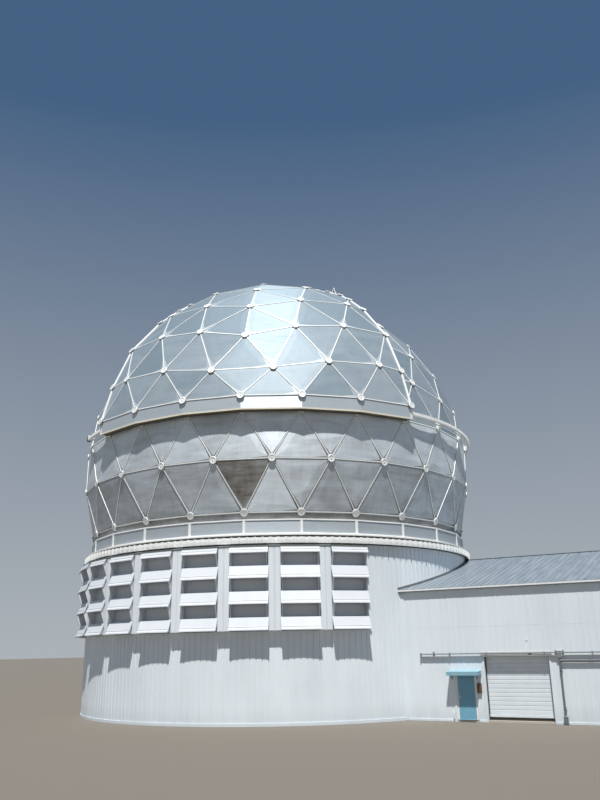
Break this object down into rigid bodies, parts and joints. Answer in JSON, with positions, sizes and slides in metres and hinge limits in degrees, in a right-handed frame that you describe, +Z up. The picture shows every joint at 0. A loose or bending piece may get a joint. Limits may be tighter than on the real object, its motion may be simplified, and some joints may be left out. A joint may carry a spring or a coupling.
{
  "type": "observatory dome",
  "caption": "Round metal observatory building with a turning faceted dome, a wedge shutter on a rail, louvred drum walls and a gabled wing with a hinged door.",
  "frame": {"origin": "on the dome axis at ground level, on the underside of the drum floor", "axes": "+Z up along the dome axis, +X along the wing away from the drum, the wing front wall with its doors faces -Y"},
  "size_m": [34.5745, 25.2628, 27.23],
  "materials": {
    "clear_aluminium": "bright mill-finish sheet",
    "dull_aluminium": "weathered mill-finish sheet",
    "white_paint": "satin white paint",
    "white_sheet": "ribbed siding, satin",
    "grey_sheet": "standing seam roofing, weathered",
    "blue_paint": "satin blue paint",
    "dark_steel": "dark galvanised steel",
    "concrete": "trowelled concrete"
  },
  "bodies": {
    "building": {"drum_floor": "concrete", "drum_wall_wing_side": "white_sheet", "drum_wall_back": "white_sheet", "drum_wall_rear": "white_sheet", "drum_wall_side": "white_sheet", "drum_wall_front": "white_sheet", "louvre_bank_rear": "white_sheet", "louvre_bank_side": "white_sheet", "louvre_bank_front": "white_sheet", "drum_cap": "white_paint", "dome_rail": "dark_steel", "wing_floor": "concrete", "wing_wall_left": "white_sheet", "wing_wall_over_door": "white_sheet", "wing_pier": "white_sheet", "wing_wall_over_roller": "white_sheet", "wing_wall_right": "white_sheet", "wing_gable": "white_sheet", "wing_back_wall": "white_sheet", "wing_return_wall": "white_sheet", "wing_roof_front": "grey_sheet", "wing_roof_back": "grey_sheet", "door_frame": "white_paint", "door_canopy": "blue_paint", "door_box": "dark_steel", "roller_door": "white_paint", "wall_pipes": "white_paint", "riser_pipe": "white_paint"},
    "dome": {"dome_base_ring": "white_paint", "dome_skirt": "dull_aluminium", "lower_panels_1": "dull_aluminium", "lower_panels_2": "dull_aluminium", "lower_panels_3": "dull_aluminium", "lower_panels_4": "dull_aluminium", "lower_panels_5": "dull_aluminium", "dome_crown": "clear_aluminium", "upper_panels_1": "clear_aluminium", "upper_panels_2": "clear_aluminium", "upper_panels_3": "clear_aluminium", "upper_panels_4": "clear_aluminium", "shutter_pin": "dark_steel", "shutter_rail": "white_paint"},
    "shutter": {"shutter_gore_1": "clear_aluminium", "shutter_gore_2": "clear_aluminium", "shutter_gore_3": "clear_aluminium", "shutter_edge_left": "white_paint", "shutter_edge_right": "white_paint", "shutter_trucks": "dark_steel", "shutter_head": "white_paint"},
    "door": {"door_leaf": "blue_paint", "door_lever": "dark_steel"}
  },
  "joints": [
    {"name": "dome_turn", "type": "hinge", "parent": "building", "child": "dome", "pos_m": [0, 0, 8.93], "axis": [0, 0, 1], "continuous": true},
    {"name": "shutter_turn", "type": "hinge", "parent": "dome", "child": "shutter", "pos_m": [0, 0, 26.8], "axis": [0, 0, 1], "range_deg": [0, 90]},
    {"name": "door_swing", "type": "hinge", "parent": "building", "child": "door", "pos_m": [14.137, -5.358, 1.1], "axis": [0, 0, 1], "range_deg": [0, 100]}
  ]
}
